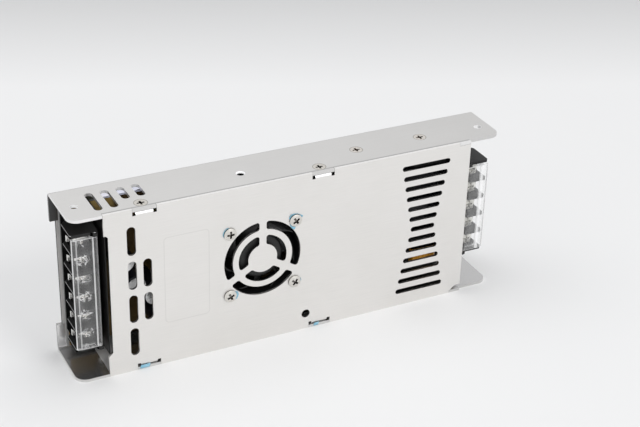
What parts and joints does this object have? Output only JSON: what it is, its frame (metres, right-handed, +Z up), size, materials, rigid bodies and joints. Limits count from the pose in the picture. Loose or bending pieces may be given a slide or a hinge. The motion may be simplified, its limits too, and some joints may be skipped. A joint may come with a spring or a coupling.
{
  "type": "switching power supply",
  "caption": "Slim fan-cooled switching power supply in a folded metal case, with slotted vents, a fan grille and screw terminals under clear hinged covers at both ends.",
  "frame": {"origin": "middle of the bounding box at its underside, where the supply stands on its lower side wall", "axes": "+X along the length from the output end to the input end, +Y from the cover to the base, +Z up across the width"},
  "size_m": [0.212, 0.0313, 0.0815],
  "materials": {
    "sheet_metal": "matt, lightly brushed",
    "steel": "satin plated",
    "black_moulding": "matt",
    "clear_moulding": "clear, glossy",
    "contact_metal": "tinned",
    "board": "semi-matt laminate",
    "copper": "enamelled copper",
    "ferrite": "matt",
    "amber_tape": "glossy film",
    "bar_metal": "extruded",
    "can_metal": "bright",
    "dark_sleeve": "glossy sleeve",
    "pad": "matt",
    "film_box": "semi-matt",
    "blue_resin": "glossy",
    "green_resin": "matt",
    "powder_core": "painted",
    "header": "matt",
    "insulating_film": "matt film",
    "fuse_body": "clear tube with plated caps"
  },
  "bodies": {
    "case": {"chassis": "sheet_metal", "cover": "sheet_metal", "cover_screws": "steel", "bar_screws": "steel", "fan_screws": "steel", "fan_frame": "black_moulding", "fan_bearing": "copper", "fan_stator": "copper", "circuit_board": "board", "board_standoffs": "steel", "board_screws": "steel", "terminal_barrier": "black_moulding", "base_insulator": "insulating_film", "wall_insulator": "black_moulding", "output_terminal_block": "black_moulding", "output_contacts": "contact_metal", "output_clamps": "contact_metal", "output_terminal_screws": "contact_metal", "input_terminal_block": "black_moulding", "input_contacts": "contact_metal", "input_clamps": "contact_metal", "input_terminal_screws": "contact_metal", "input_heat_bar": "bar_metal", "output_heat_bar": "bar_metal", "device_pads": "pad", "device_screws": "steel", "switching_transistors": "black_moulding", "bridge_rectifier": "black_moulding", "output_rectifiers": "black_moulding", "transformer_core": "ferrite", "transformer_bobbin": "black_moulding", "transformer_winding": "amber_tape", "choke_core": "ferrite", "choke_bobbin": "black_moulding", "choke_winding": "amber_tape", "output_inductor_core": "powder_core", "output_inductor_winding": "copper", "bulk_capacitors": "dark_sleeve", "output_capacitors": "can_metal", "film_capacitor": "film_box", "safety_capacitors": "blue_resin", "fuse": "fuse_body", "fuse_clips": "contact_metal", "inrush_thermistor": "green_resin", "control_chips": "black_moulding", "output_trimmer": "blue_resin", "fan_connector": "header"},
    "fan_rotor": {"fan_rotor": "black_moulding", "fan_shaft": "steel"},
    "output_flap": {"output_terminal_cover": "clear_moulding"},
    "input_flap": {"input_terminal_cover": "clear_moulding"}
  },
  "joints": [
    {"name": "fan_spin", "type": "hinge", "parent": "case", "child": "fan_rotor", "pos_m": [-0.0175, -0.009, 0.0435], "axis": [0, 1, 0], "continuous": true},
    {"name": "output_cover_hinge", "type": "hinge", "parent": "case", "child": "output_flap", "pos_m": [-0.0942, -0.01135, 0.0435], "axis": [0, 0, 1], "range_deg": [0, 95]},
    {"name": "input_cover_hinge", "type": "hinge", "parent": "case", "child": "input_flap", "pos_m": [0.0908, -0.01135, 0.0435], "axis": [0, 0, -1], "range_deg": [0, 95]}
  ]
}
